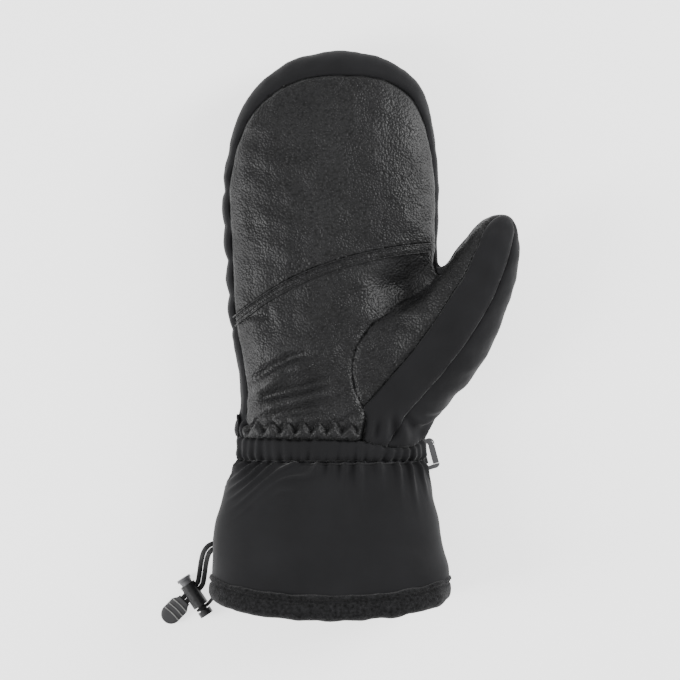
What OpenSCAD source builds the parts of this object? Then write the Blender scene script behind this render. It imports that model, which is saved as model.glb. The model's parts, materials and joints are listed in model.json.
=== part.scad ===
// Right-hand insulated ski mitten, lying on its back with the palm up.
// X runs towards the thumb side, Y towards the fingertips, Z up out of the palm.
// The origin is on the resting plane, under the hand's centreline, at mid length.

/* [Overall] */
// Length from the hem to the fingertip
total_length = 300; // [290:1:310]
// Width of the hand across the fingers
hand_width = 114; // [110:1:118]
// Depth of the filled hand, before the back flattens on the surface
hand_depth = 47; // [45:0.5:49]
// Width of the cuff at the hem
hem_width = 126; // [122:1:130]
// Depth of the cuff at the hem
hem_depth = 63; // [60:1:66]

/* [Wrist] */
// Width of the gathered wrist
wrist_width = 100; // [97:1:102]
// Depth of the gathered wrist
wrist_depth = 40; // [38:0.5:41]
// Distance from the hem to the seam that joins the hand to the cuff
wrist_seam = 96; // [94:1:98]
// Height of the yoke band under the wrist seam
yoke_height = 12; // [10:1:14]

/* [Thumb] */
// Length of the thumb from its buried root to its tip
thumb_length = 112; // [108:1:114]
// Width of the thumb at its widest
thumb_width = 53; // [50:1:54]
// Depth of the thumb at its widest
thumb_depth = 40; // [38:1:42]
// Angle of the thumb away from the fingers
thumb_splay = 33.8; // [31:0.2:36]

/* [Layers] */
// Thickness of the shell fabric and leather
skin = 1.2; // [1:0.1:1.3]
// Thickness of the fibre insulation
loft = 3.8; // [3.5:0.1:4]
// Thickness of the waterproof insert
film = 0.4; // [0.3:0.05:0.5]
// Thickness of the fleece lining
fleece = 1.8; // [1.5:0.1:2]

/* [Hem and hardware] */
// Height of the knitted hem binding
binding_height = 15; // [13:1:17]
// Diameter of the elastic drawcord
cord_d = 2.7; // [2.5:0.1:2.8]
// Length of the pull tab
tab_length = 16; // [14:1:18]
// Width of the pull tab
tab_width = 11; // [10:0.5:12]
// Length of the mitten clip along its bar
clip_length = 16.6; // [16:0.1:17.4]

/* [Hidden] */

$fn = 40;
gap = 0.5;                            // air between layers that aren't sewn together
half_length = total_length / 2;
seam_y = wrist_seam - half_length;    // the wrist seam
knuckle_y = 70;                       // where the fingertip curve begins
tip_power = 2.6;                      // squareness of the fingertip curve
ring_power = 2 / 2.4;                 // squareness of the hand's cross-section
hand_a = hand_width / 2;
hand_b = hand_depth / 2;
wrist_a = wrist_width / 2;
wrist_b = wrist_depth / 2;
wrist_z = 24;                         // height of the wrist's centre and of its flex axis
flex_r = 26;                          // radius of the joint between hand and cuff
flex_y = seam_y - sqrt(flex_r * flex_r - wrist_b * wrist_b);
hem_a = hem_width / 2;
hem_b = hem_depth / 2;
hem_y = -half_length;
yoke_y = seam_y - yoke_height;
binding_y = hem_y + binding_height;

black_leather = [0.10, 0.10, 0.11];
black_fabric = [0.14, 0.14, 0.15];
black_knit = [0.12, 0.12, 0.13];
white_fill = [0.85, 0.85, 0.83];
grey_fleece = [0.28, 0.28, 0.30];
film_blue = [0.55, 0.60, 0.66];
grey_plastic = [0.36, 0.36, 0.37];
black_plastic = [0.06, 0.06, 0.07];

// ---- small helpers ----
function spow(x, p) = sign(x) * pow(abs(x), p);
function mix(a, b, t) = a + (b - a) * t;
function clamp(t) = min(1, max(0, t));
function smooth(t) = let(c = clamp(t)) c * c * (3 - 2 * c);

// ---- outline of the hand, v from 0 at the wrist to 1 at the fingertip ----
v_knuckle = 0.55;
v_tip = 0.985;
function tip_angle(v) = 90 * (v - v_knuckle) / (1 - v_knuckle);
function hand_y(v) = v < v_knuckle
    ? mix(seam_y, knuckle_y, v / v_knuckle)
    : knuckle_y + (half_length - knuckle_y) * pow(sin(tip_angle(v)), 2 / tip_power);
function hand_half_width(v) = v < v_knuckle
    ? mix(wrist_a, hand_a, smooth(1.15 * v / v_knuckle))
    : hand_a * pow(cos(tip_angle(v)), 2 / tip_power);
function hand_half_depth(v) = v < v_knuckle
    ? mix(wrist_b, hand_b, smooth(2.6 * v / v_knuckle)) - 1.5 * smooth(v / v_knuckle)
    : (hand_b - 1.5) * pow(cos(tip_angle(v)), 1.1);
function hand_z(v) = mix(wrist_z, 22, smooth(3 * v / v_knuckle)) - 0.6 * smooth(v / v_knuckle)
    + 6 * pow(clamp((v - v_knuckle) / (1 - v_knuckle)), 2);
function hand_x(v) = 2.5 * smooth((v - v_knuckle) / (1 - v_knuckle));
// Where a wall meets the joint between hand and cuff, an arc about the flex axis.
function joint_y(z, r) = flex_y + sqrt(max(1, r * r - pow(z - wrist_z, 2)));

// A point of the hand, d below its outer surface.
function hand_point(u, v, d) = let(
    x = hand_x(v) + hand_half_width(v) * (hand_a - d) / hand_a * spow(cos(u), ring_power),
    z = max(hand_z(v) + hand_half_depth(v) * (hand_b - d) / hand_b * spow(sin(u), ring_power), d),
    y = seam_y + (hand_y(v) - seam_y) * (1 - d / (half_length - seam_y))
) [x, y + (joint_y(z, flex_r) - seam_y) * pow(clamp(1 - v / 0.22), 2), z];

// A point of the cuff at the distance y along it, d below its outer surface.
function cuff_share(y) = 1 - pow(clamp(1 - (seam_y - 8 - y) / (seam_y - 8 - hem_y)), 1.6);
function cuff_ring(u, y, d) = let(
    s = cuff_share(y),
    z = mix(wrist_z, 31, s) + (mix(wrist_b, hem_b, s) - d) * spow(sin(u), ring_power)
) [-1.5 * s + (mix(wrist_a, hem_a, s) - d) * spow(cos(u), ring_power), y, max(z, d + hem_flat)];
hem_flat = 1.5;                       // the hem binding stands this proud of the gauntlet
function cuff_point(u, y, d) = let(p = cuff_ring(u, y, d))
    [p.x, y + (joint_y(p.z, flex_r - 0.8) - seam_y) * pow(clamp((y - yoke_y) / yoke_height), 1.5), p.z];

// ---- the thumb: rings along a straight axis that climbs out of the palm ----
thumb_root = [34.5, -34.5, 24];
thumb_rise = 9.5;                     // slope of the axis, in degrees
thumb_t = [sin(thumb_splay) * cos(thumb_rise), cos(thumb_splay) * cos(thumb_rise), sin(thumb_rise)];
thumb_n = [cos(thumb_splay), -sin(thumb_splay), 0];
thumb_m = cross(thumb_n, thumb_t);
thumb_a = thumb_width / 2;
thumb_b = thumb_depth / 2;
thumb_straight = 30;                  // where the thumb is at its widest
root_taper = 0.0052;                  // how fast it narrows from there to the wrist
thumb_foot = -24;                     // where its walls begin, under the wrist seam
thumb_power = 2 / 2.2;
thumb_hinge = 44;                     // distance of the flex axis from the root
thumb_r = 22;                         // radius of the joint in the thumb, on its outer side
thumb_lean = 0.85;                    // growth of that radius towards the hand
thumb_joint_gap = 0.8;
function thumb_taper(t) = t < thumb_straight
    ? 1 - root_taper * (thumb_straight - t)
    : pow(max(0, 1 - pow((t - thumb_straight) / (thumb_length - thumb_straight), 2)), 0.5);
function thumb_shrink(d) = (thumb_length - thumb_straight - d) / (thumb_length - thumb_straight);
function thumb_at(t, n, m) = thumb_root + t * thumb_t + n * thumb_n + m * thumb_m;
function thumb_point(u, t, d) = let(
    k = thumb_taper(t),
    along = t > thumb_straight ? thumb_straight + (t - thumb_straight) * thumb_shrink(d) : t
) thumb_at(
    along,
    k * (thumb_a - d) * spow(cos(u), thumb_power),
    k * (thumb_b - d) * spow(sin(u), thumb_power)
);
// Where a wall crosses the joint, which is round about the flex axis at every width.
function joint_t(u, d, less, t = 74, rounds = 6) = rounds == 0 ? t : let(
    n = thumb_taper(t) * (thumb_a - d) * spow(cos(u), thumb_power),
    m = thumb_taper(t) * (thumb_b - d) * spow(sin(u), thumb_power),
    r = thumb_r + thumb_lean * max(0, -n) - less,
    arc = thumb_hinge + sqrt(max(1, r * r - m * m))
) joint_t(u, d, less, thumb_straight + (arc - thumb_straight) / thumb_shrink(d), rounds - 1);

// ---- solids made from rows of points ----
function quads(a, b, c, e, flip) = flip ? [[a, c, b], [a, e, c]] : [[a, b, c], [a, c, e]];

// A sheet between an outer and an inner grid of points, closed round its four edges.
module sheet(outer, inner) {
    rows = len(outer);
    cols = len(outer[0]);
    layer = rows * cols;
    polyhedron(
        points = concat([for (r = outer) each r], [for (r = inner) each r]),
        faces = [
            for (j = [0:rows - 2], i = [0:cols - 2], s = [0, 1]) let(a = s * layer + j * cols + i)
                each quads(a, a + 1, a + cols + 1, a + cols, s == 1),
            for (i = [0:cols - 2]) each quads(i + 1, i, layer + i, layer + i + 1, false),
            for (i = [0:cols - 2]) let(a = (rows - 1) * cols + i)
                each quads(a, a + 1, layer + a + 1, layer + a, false),
            for (j = [0:rows - 2]) let(a = j * cols)
                each quads(a, a + cols, layer + a + cols, layer + a, false),
            for (j = [0:rows - 2]) let(a = j * cols + cols - 1)
                each quads(a + cols, a, layer + a, layer + a + cols, false)
        ]
    );
}

// A bag: closed rings, open at the first row and capped at the last.
module bag(outer, inner) {
    rows = len(outer);
    cols = len(outer[0]);
    layer = rows * cols;
    last = (rows - 1) * cols;
    polyhedron(
        points = concat([for (r = outer) each r], [for (r = inner) each r]),
        faces = [
            for (j = [0:rows - 2], i = [0:cols - 1], s = [0, 1]) let(
                a = s * layer + j * cols + i,
                b = s * layer + j * cols + (i + 1) % cols
            ) each quads(a, b, b + cols, a + cols, s == 1),
            for (i = [0:cols - 1]) let(b = (i + 1) % cols)
                each quads(b, i, layer + i, layer + b, false),
            [for (i = [0:cols - 1]) last + i],
            [for (i = [cols - 1:-1:0]) layer + last + i]
        ]
    );
}

// A plain solid through closed rings, capped at both ends.
module lofted(rings) {
    rows = len(rings);
    cols = len(rings[0]);
    polyhedron(
        points = [for (r = rings) each r],
        faces = [
            for (j = [0:rows - 2], i = [0:cols - 1]) let(
                a = j * cols + i,
                b = j * cols + (i + 1) % cols
            ) each quads(a, b, b + cols, a + cols, false),
            [for (i = [cols - 1:-1:0]) i],
            [for (i = [0:cols - 1]) (rows - 1) * cols + i]
        ]
    );
}

// A band: a closed profile of rings, outer side first with y growing.
module band(rings) {
    rows = len(rings);
    cols = len(rings[0]);
    polyhedron(
        points = [for (r = rings) each r],
        faces = [
            for (j = [0:rows - 1], i = [0:cols - 1]) let(
                a = j * cols + i,
                b = j * cols + (i + 1) % cols,
                c = ((j + 1) % rows) * cols + (i + 1) % cols,
                e = ((j + 1) % rows) * cols + i
            ) each quads(a, b, c, e, false)
        ]
    );
}

hand_segments = 32;
tip_rows = [0.55, 0.63, 0.7, 0.76, 0.82, 0.88, 0.94];
hand_rows = concat([0, 0.07, 0.15, 0.25, 0.36, 0.46], tip_rows, [v_tip]);
full_turn = [for (i = [0:hand_segments - 1]) i * 360 / hand_segments];

function hand_grid(rows, low, high, d) = [
    for (j = [0:len(rows) - 1])
        [for (i = [0:hand_segments]) hand_point(mix(low[j], high[j], i / hand_segments), rows[j], d)]
];
function hand_tube(rows, d) = [for (v = rows) [for (u = full_turn) hand_point(u, v, d)]];

// The palm's outline on the hand: where its left edge and its rounded top lie.
palm_top_v = 0.82;
palm_right_u = 8;
function palm_left_u(v) = mix(160, 150, smooth(v / 0.5)) - 30 * pow(clamp((v - 0.5) / 0.32), 3);
function palm_low_u(v) = palm_right_u + 36 * pow(clamp((v - 0.6) / 0.22), 3);

// The seam between the two palm leathers climbs towards the thumb side.
seam_left_v = 0.30;
seam_right_v = 0.465;
function palm_seam_v(share) = mix(seam_right_v, seam_left_v, pow(share, 1.5));
seam_gap_v = 0.003;

function palm_grid(v_of, rows, d) = [
    for (j = [0:rows])
        [for (i = [0:16]) let(share = i / 16, v = v_of(j / rows, share))
            hand_point(mix(palm_low_u(v), palm_left_u(v), share), v, d)]
];

module hand_cutter(d) {
    lofted([for (v = concat([0], hand_rows)) [for (u = full_turn)
        let(p = hand_point(u, v, d)) v == 0 ? [p.x, p.y - 0.1, p.z] : p]]);
}
module thumb_cutter(d, reach) {
    lofted([for (t = [thumb_foot, 0, 20, 40, 55, 70, reach]) [for (u = full_turn) thumb_point(u, t, d)]]);
}
// What the cuff sweeps as the wrist flexes.
module wrist_clear() {
    translate([0, flex_y, wrist_z]) rotate([0, 90, 0]) cylinder(r = flex_r, h = 160, center = true);
    translate([-80, flex_y - 60, -40]) cube([160, 60, 120]);
}

// ---- the hand ----
module back_shell() {
    rows = concat([0, 0.07, 0.15, 0.25, 0.36, 0.46, 0.55, 0.63, 0.7, 0.76, palm_top_v],
        [palm_top_v + 0.004, 0.88, 0.94, v_tip]);
    low = [for (v = rows) v > palm_top_v ? 82.2 : palm_left_u(v) + 0.5];
    high = [for (v = rows) v > palm_top_v ? 441.8 : palm_low_u(v) + 359.5];
    color(black_fabric) difference() {
        sheet(hand_grid(rows, low, high, 0), hand_grid(rows, low, high, skin));
        thumb_cutter(-gap, 84);
    }
}

module upper_palm() {
    v_of = function(s, share) mix(palm_seam_v(share) + seam_gap_v, palm_top_v - 0.004, s);
    color(black_leather) sheet(palm_grid(v_of, 9, 0), palm_grid(v_of, 9, skin));
}

module lower_palm() {
    v_of = function(s, share) mix(0, palm_seam_v(share), s);
    color(black_leather) difference() {
        sheet(palm_grid(v_of, 8, 0), palm_grid(v_of, 8, skin));
        thumb_cutter(-gap, 84);
    }
}

// The fibre fill is two batts, cut where the palm and the back meet at the sides.
fill_rows = concat([0.1, 0.15, 0.25, 0.36, 0.46], tip_rows);
module batt(low, high) {
    d0 = skin + gap;
    d1 = d0 + loft;
    lows = [for (v = fill_rows) low];
    highs = [for (v = fill_rows) high];
    color(white_fill) difference() {
        sheet(hand_grid(fill_rows, lows, highs, d0), hand_grid(fill_rows, lows, highs, d1));
        thumb_cutter(d0, 84);
    }
}
module insulation_palm() { batt(3, 177); }
module insulation_back() { batt(178, 362); }

module hand_bag(d, thickness, c) {
    color(c) difference() {
        bag(hand_tube(hand_rows, d), hand_tube(hand_rows, d + thickness));
        thumb_cutter(d, 84);
    }
}
film_d = skin + loft + 2 * gap;
fleece_d = film_d + film + gap;
module membrane_insert() { hand_bag(film_d, film, film_blue); }
module hand_lining() { hand_bag(fleece_d, fleece, grey_fleece); }

elastic_height = 6;
module wrist_elastic_upper() {
    d0 = skin + gap;
    v0 = 0.045;
    v1 = 0.08;
    color(black_knit) band([
        for (q = [[v0, d0], [v1, d0], [v1, d0 + 0.9], [v0, d0 + 0.9]])
            [for (u = full_turn) hand_point(u, q[0], q[1])]
    ]);
}

// ---- the thumb ----
thumb_rows = [thumb_foot, -8, 8, 24, 40, 54, 67, 80, 91, 100, 106, 110.3];
function thumb_grid(rows, low, high, d) = [
    for (t = rows) [for (i = [0:14]) thumb_point(mix(low(t), high(t), i / 14), t, d)]
];
// The seams run along the thumb: leather on the side that faces the palm, then two fabric panels.
function leather_low(t) = mix(112, 70, smooth(t / 100));
function leather_high(t) = mix(268, 232, smooth(t / 100));
function side_low(t) = mix(58, 22, smooth(t / 100));

module thumb_panel(low, high, c) {
    color(c) difference() {
        sheet(thumb_grid(thumb_rows, low, high, 0), thumb_grid(thumb_rows, low, high, skin));
        hand_cutter(-gap);
        wrist_clear();
    }
}
module thumb_palm() {
    thumb_panel(function(t) leather_low(t) + 0.6, function(t) leather_high(t) - 0.6, black_leather);
}
module thumb_side() {
    thumb_panel(function(t) side_low(t) + 0.6, function(t) leather_low(t) - 0.6, black_fabric);
}
module thumb_back() {
    thumb_panel(function(t) leather_high(t) + 0.6, function(t) side_low(t) + 359.4, black_fabric);
}

// The thumb's inner layers stand clear of the hand, so that they turn with the thumb.
core_tip = 109.5;
core_shares = [0, 0.14, 0.3, 0.5, 0.7, 0.87, 1];
function core_rings(d) = [
    for (share = core_shares)
        [for (u = full_turn) thumb_point(u, mix(joint_t(u, d, 0), core_tip, share), d)]
];
module thumb_bag(d, thickness, c) {
    color(c) bag(core_rings(d), core_rings(d + thickness));
}
module thumb_insulation() { thumb_bag(skin + gap, loft - 0.6, white_fill); }
module thumb_membrane() { thumb_bag(film_d - 0.6, film, film_blue); }
module thumb_lining() { thumb_bag(fleece_d - 0.6, fleece, grey_fleece); }

// The fill round the thumb's root stays with the hand.
module thumb_base_insulation() {
    d0 = skin + gap + 0.5;
    d1 = d0 + loft - 0.5;
    base_shares = [0, 0.25, 0.5, 0.75, 1];
    base_foot = -10;
    ring = function(share, d) [for (u = full_turn)
        thumb_point(u, mix(base_foot, joint_t(u, d, thumb_joint_gap), share), d)];
    color(white_fill) difference() {
        band(concat([for (s = base_shares) ring(s, d0)],
            [for (j = [len(base_shares) - 1:-1:0]) ring(base_shares[j], d1)]));
        hand_cutter(-gap);
        wrist_clear();
    }
}

// ---- the cuff ----
cuff_turn = [for (i = [0:hand_segments - 1]) i * 360 / hand_segments];
function cuff_loop(profile) = [for (q = profile) [for (u = cuff_turn) cuff_point(u, q[0], q[1])]];
// A wall between two distances along the cuff, from d to d + thickness.
function wall(y0, y1, d, thickness, steps) = concat(
    [for (k = [0:steps]) [mix(y0, y1, k / steps), d]],
    [for (k = [steps:-1:0]) [mix(y0, y1, k / steps), d + thickness]]
);
groove_y = hem_y + 7;                 // the shell's edge inside the hem binding
lining_d = 3.5;                       // depth of the cuff's lining under the outer surface

module wrist_yoke() {
    color(black_fabric) band(cuff_loop(wall(yoke_y, seam_y, 0, skin, 3)));
}
module gauntlet() {
    color(black_fabric) band(cuff_loop(wall(groove_y, yoke_y - 0.2, 0, skin, 5)));
}
module wrist_elastic_lower() {
    d0 = skin + 0.3;
    color(black_knit) band(cuff_loop(wall(yoke_y - 4, yoke_y + 3, d0, 0.8, 2)));
}
module cuff_lining() {
    color(grey_fleece) band(cuff_loop(wall(groove_y, seam_y, lining_d, fleece, 8)));
}
module hem_binding() {
    out = -hem_flat;
    inner = lining_d + fleece;
    color(black_knit) band(cuff_loop([
        [hem_y + 0.8, out + 1], [hem_y + 2.2, out], [binding_y, out], [binding_y, -0.2],
        [groove_y, -0.2], [groove_y - 0.2, inner], [hem_y + 1.2, inner], [hem_y, inner - 1.2],
        [hem_y, out + 2]
    ]));
}
// The drawcord's hidden length, in the tunnel between the shell and the lining.
tunnel_y = hem_y + 11;
tunnel_d = 2.3;
hidden_cord_r = 0.95;
module hem_drawcord() {
    turns = [for (k = [0:5]) 60 * k];
    color(black_knit) band(cuff_loop([
        for (a = turns) [tunnel_y - hidden_cord_r * cos(a), tunnel_d + hidden_cord_r * sin(a)]
    ]));
}

// A blank sewn-in label, flat against the lining.
module care_label() {
    grid = function(d) [for (y = [hem_y + 34, hem_y + 56])
        [for (u = [250:5:290]) cuff_point(u, y, d)]];
    color("white") sheet(grid(lining_d + fleece + 0.6), grid(lining_d + fleece + 1));
}

// ---- the strap across the back of the wrist, and the clip on its end ----
strap_width = 24;
strap_y = seam_y + 12;                // edge of the strap nearest the fingers
module wrist_strap() {
    grid = function(a, b) [for (y = [strap_y - strap_width, strap_y])
        [for (u = [172:8:316]) [a * spow(cos(u), ring_power), y, wrist_z + b * spow(sin(u), ring_power)]]];
    color(black_knit) sheet(grid(wrist_a + 3.4, 23.4), grid(wrist_a + 2.2, 22.2));
}

clip_at = [49.3, -65.3, 2.7];
clip_turn = 15;                       // the clip's bar leans this much off Y
bar_r = 1.2;
clip_thick = 2.4;
clip_reach = 8.3;                     // from the bar to the clip's outer edge
clip_half = clip_length / 2;
gate_at = [6.2, 5.2];                 // the gate's pivot, from the middle of the bar
gate_r = 1.5;
webbing_half = 4.4;
module at_clip() { translate(clip_at) rotate([0, 0, clip_turn]) children(); }

module clip_webbing() {
    color(black_knit) at_clip() rotate([90, 0, 0]) linear_extrude(2 * webbing_half, center = true)
        difference() {
            union() {
                circle(r = bar_r + 0.9);
                translate([-9, -1.3]) square([9, 2.6]);
            }
            circle(r = bar_r + 0.06);
        }
}

module rounded(size, r) {
    for (x = [r, size.x - r], y = [r - size.y / 2, size.y / 2 - r]) translate([x, y]) circle(r = r);
    translate([r, -size.y / 2]) square([size.x - 2 * r, size.y]);
    translate([0, r - size.y / 2]) square([size.x, size.y - 2 * r]);
}

module clip_frame() {
    color(grey_plastic) at_clip() {
        difference() {
            translate([0, 0, -clip_thick / 2]) linear_extrude(clip_thick) difference() {
                translate([-bar_r, 0]) rounded([clip_reach + bar_r, clip_length], 2.6);
                // the opening that the webbing and the other mitten's clip share
                translate([-bar_r - 1, 0]) rounded([bar_r + 5.6, clip_length - 4], 1.6);
                // the gate's seat, and the mouth that it closes
                translate(gate_at) circle(r = gate_r + 0.12);
                translate([3, -clip_half + 2.2]) square([6, clip_half + gate_at.y - 2.7]);
            }
        }
        rotate([90, 0, 0]) cylinder(r = bar_r, h = clip_length - 3.6, center = true);
    }
}

module clip_gate() {
    color(grey_plastic) at_clip() translate([0, 0, 0.1 - clip_thick / 2]) linear_extrude(clip_thick - 0.2) {
        translate(gate_at) circle(r = gate_r);
        translate([4.75, -clip_half + 2.5]) square([3.3, clip_half + gate_at.y - 3.5]);
    }
}

// ---- the drawcord's free loop, its lock and its pull tab ----
lock_at = [-75.3, -139.1, 4.5];
lock_turn = -57;                      // the barrel's axis, from X
barrel_r = 4.3;
barrel_from = -5.1;
neck_from = 8.6;
flare_from = 11.6;
flare_to = 14.6;
bore_r = 3.4;
bore_to = 8;
button_clear = 0.06;
press = 2.2;                          // travel of the button
slot_half = 4.0;
slot_rise = 1.65;
neck_r = 2.1;
spring_wire = 0.22;
spring_r = 2.5;
spring_from = 4.85;
spring_to = 7.7;
module at_lock() { translate(lock_at) rotate([0, 0, lock_turn]) children(); }
module along(x0, x1, r) { translate([x0, 0, 0]) rotate([0, 90, 0]) cylinder(r = r, h = x1 - x0); }
module cord_slot(x0, x1) {
    translate([x0, -6, -slot_rise]) cube([x1 - x0, 12, 2 * slot_rise]);
}

module lock_barrel() {
    color(black_plastic) at_lock() difference() {
        union() {
            along(barrel_from, neck_from, barrel_r);
            along(neck_from, flare_from, neck_r);
            along(flare_from, flare_to, 3.8);
        }
        along(barrel_from - 1, bore_to, bore_r);
        along(flare_to - 1.2, flare_to + 1, 2.4);
        cord_slot(-slot_half, slot_half);
    }
}
module lock_button() {
    cap_at = barrel_from - press - 0.4;
    color(grey_plastic) at_lock() difference() {
        union() {
            along(cap_at, spring_from - 0.35, bore_r - button_clear);
            along(cap_at - 1.5, cap_at, barrel_r - 0.3);
        }
        cord_slot(-slot_half - press - 0.2, slot_half);
    }
}

function coil_ring(a, turns) = let(x = mix(spring_from, spring_to, a / (360 * turns)))
    [for (k = [0:5]) let(r = spring_r + spring_wire * cos(60 * k))
        [x + spring_wire * sin(60 * k), r * cos(a), r * sin(a)]];
module lock_spring() {
    turns = 3;
    color("silver") at_lock() mirror([0, 1, 0])
        lofted([for (a = [0:36:360 * turns]) coil_ring(a, turns)]);
}

// A tube with 8 sides swept along points; its rings stand across the bisector of each bend.
function unit(p) = p / norm(p);
function sweep_rings(path, r) = [
    for (i = [0:len(path) - 1]) let(
        a = path[max(0, i - 1)],
        b = path[min(len(path) - 1, i + 1)],
        t = unit(b - a),
        s = unit(cross(t, [0, 0, 1])),
        w = cross(t, s)
    ) [for (k = [0:7]) path[i] + r * (cos(45 * k) * w + sin(45 * k) * s)]
];
module tube(path, r) { lofted(sweep_rings(path, r)); }

loop_pitch = 1.43;                    // half the spacing of the loop's two strands
// The strands' shared route: out of the gauntlet's side, down to the surface, through the lock.
loop_route = [
    [-61.4, -112, 26.5], [-62.6, -112.2, 26.4], [-64.1, -112.9, 25.7], [-65.5, -114.3, 23.9],
    [-66.7, -116.2, 21], [-67.6, -118.4, 17.4], [-68.3, -120.7, 13.8], [-68.9, -123.1, 10.6],
    [-69.4, -125.6, 8.1], [-69.8, -128.1, 6.5], [-70.2, -130.6, 5.5], [-70.6, -132.8, 4.9],
    [-71, -134.3, 4.7], [-71.83, -135.5, 4.6], [-75.3, -139.1, 4.5], [-79.61, -143.56, 4.15],
    [-81.55, -145.57, 3.86]
];
function beside(path, offset) = [
    for (i = [0:len(path) - 1]) let(
        t = unit(path[min(len(path) - 1, i + 1)] - path[max(0, i - 1)]),
        s = unit(cross(t, [0, 0, 1]))
    ) path[i] + offset * s
];
module draw_loop() {
    color(black_knit) for (side = [-1, 1]) tube(beside(loop_route, side * loop_pitch), cord_d / 2);
}

tab_turn = -134;                      // the way the tab points
tab_thick = 3.6;
tab_pitch = 6;                        // its slope, from the lock down to the surface
tab_at = [-79.61, -143.56, 4.15];
module at_tab() { translate(tab_at) rotate([0, tab_pitch, tab_turn]) children(); }
module tab_outline() {
    translate([tab_length - tab_width / 2, 0]) circle(d = tab_width);
    translate([1, -tab_width / 2]) square([tab_length - tab_width / 2 - 1, tab_width]);
    translate([0, -3.6]) square([3, 7.2]);
}
module pull_tab() {
    rib_count = 3;
    color(black_plastic) at_tab() difference() {
        union() {
            translate([0, 0, -tab_thick / 2]) linear_extrude(tab_thick - 0.5) tab_outline();
            translate([0, 0, -tab_thick / 2]) intersection() {
                linear_extrude(tab_thick) tab_outline();
                for (k = [0:rib_count - 1])
                    translate([2.4 + 3.2 * k, -tab_width, 0]) cube([1.2, 2 * tab_width, tab_thick]);
            }
        }
        // the pocket that holds the cord's ends
        translate([-1, -3.1, -1.45]) cube([7.2, 6.2, 2.95]);
    }
}
module tab_cord_stop() {
    color(grey_plastic) at_tab() translate([3.2, -2.8, -1.3]) cube([2.0, 5.6, 2.6]);
}

// A short cord from the hem that holds the lock by its neck.
tether_route = [
    [-67.4, -146, 4.6], [-65.9, -144.4, 5.9], [-63.6, -141.4, 8.6], [-60.9, -138.9, 11.6]
];
module lock_tether() {
    ring_x = (neck_from + flare_from) / 2;
    ring_r = 1.0;
    color(black_knit) {
        at_lock() difference() {
            along(ring_x - ring_r, ring_x + ring_r, neck_r + 1.2);
            along(ring_x - 3, ring_x + 3, neck_r + 0.1);
        }
        tube(tether_route, ring_r);
    }
}

// A sewn-on eyelet, where the loop comes out of the gauntlet.
module cord_eyelet() {
    color(black_plastic) translate(loop_route[0] + [-1.3, 0, 0]) rotate([0, 90, 0]) difference() {
        cylinder(r = 5.2, h = 1.3);
        translate([0, 0, -1]) cylinder(r = 3.8, h = 4);
    }
}

back_shell();
upper_palm();
lower_palm();
insulation_back();
insulation_palm();
membrane_insert();
hand_lining();
wrist_elastic_upper();
thumb_base_insulation();
thumb_palm();
thumb_side();
thumb_back();
thumb_insulation();
thumb_membrane();
thumb_lining();
wrist_yoke();
wrist_elastic_lower();
gauntlet();
cuff_lining();
hem_binding();
hem_drawcord();
care_label();
wrist_strap();
clip_webbing();
clip_frame();
clip_gate();
cord_eyelet();
draw_loop();
lock_barrel();
lock_button();
lock_spring();
lock_tether();
pull_tab();
tab_cord_stop();
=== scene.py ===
"""Looks of a right-hand insulated ski mitten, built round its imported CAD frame.

The mitten lies on its back with the palm up: X towards the thumb's side, Y towards the fingertips
and Z up. The shape code works in millimetres, and build() turns them into metres.
"""

import json
import math

import bpy
import numpy as np
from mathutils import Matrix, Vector
from mathutils.bvhtree import BVHTree
from mathutils.kdtree import KDTree


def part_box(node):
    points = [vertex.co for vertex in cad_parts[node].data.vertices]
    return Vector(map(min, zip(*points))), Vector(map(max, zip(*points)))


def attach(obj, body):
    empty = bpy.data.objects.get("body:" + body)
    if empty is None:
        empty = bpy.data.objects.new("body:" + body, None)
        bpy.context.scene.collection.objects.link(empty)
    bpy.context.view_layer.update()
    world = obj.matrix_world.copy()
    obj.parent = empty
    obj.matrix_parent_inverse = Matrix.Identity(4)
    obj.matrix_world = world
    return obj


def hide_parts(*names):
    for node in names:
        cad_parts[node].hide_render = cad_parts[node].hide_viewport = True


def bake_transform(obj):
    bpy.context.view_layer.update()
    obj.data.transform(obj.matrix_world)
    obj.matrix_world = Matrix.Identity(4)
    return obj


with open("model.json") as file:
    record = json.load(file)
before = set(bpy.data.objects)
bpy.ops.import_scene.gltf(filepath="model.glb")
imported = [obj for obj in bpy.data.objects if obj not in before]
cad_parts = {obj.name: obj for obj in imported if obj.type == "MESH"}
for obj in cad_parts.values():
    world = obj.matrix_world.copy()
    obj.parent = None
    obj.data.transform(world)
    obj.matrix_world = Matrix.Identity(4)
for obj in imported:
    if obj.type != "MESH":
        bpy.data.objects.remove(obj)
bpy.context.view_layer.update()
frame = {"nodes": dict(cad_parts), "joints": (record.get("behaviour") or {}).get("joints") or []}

MM = 0.001
UP = np.array([0, 0, 1.0])


# ---- sizes and places, from the frame ----
def box_mm(node):
    low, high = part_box(node)
    return np.array(low) / MM, np.array(high) / MM


def joint(name):
    return next(j for j in frame["joints"] if j["name"] == name)


def joint_mm(name):
    return np.array(joint(name)["pos_m"]) / MM


def joint_axis(name):
    return np.array(joint(name)["axis"])


shell_high = box_mm("back_shell")[1]
hem_low, hem_high = box_mm("hem_binding")
yoke_low, yoke_high = box_mm("wrist_yoke")

YOKE_HEIGHT = 12.0
TIP_LENGTH = 80
wrist_y = yoke_low[1] + YOKE_HEIGHT
wrist_z = joint_mm("wrist_flex")[2]
wrist_half = (yoke_high[0] - yoke_low[0]) / 2
wrist_depth = (yoke_high[2] - yoke_low[2]) / 2
tip_y = shell_high[1]
knuckle_y = tip_y - TIP_LENGTH
hem_y = hem_low[1]
hem_half = (hem_high[0] - hem_low[0]) / 2
hem_top = hem_high[2]

# how square the cross-sections and the fingertips are: 1 is an ellipse, and less is squarer
RING_POWER = 2 / 2.4
TIP_POWER = 2 / 2.6
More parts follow.
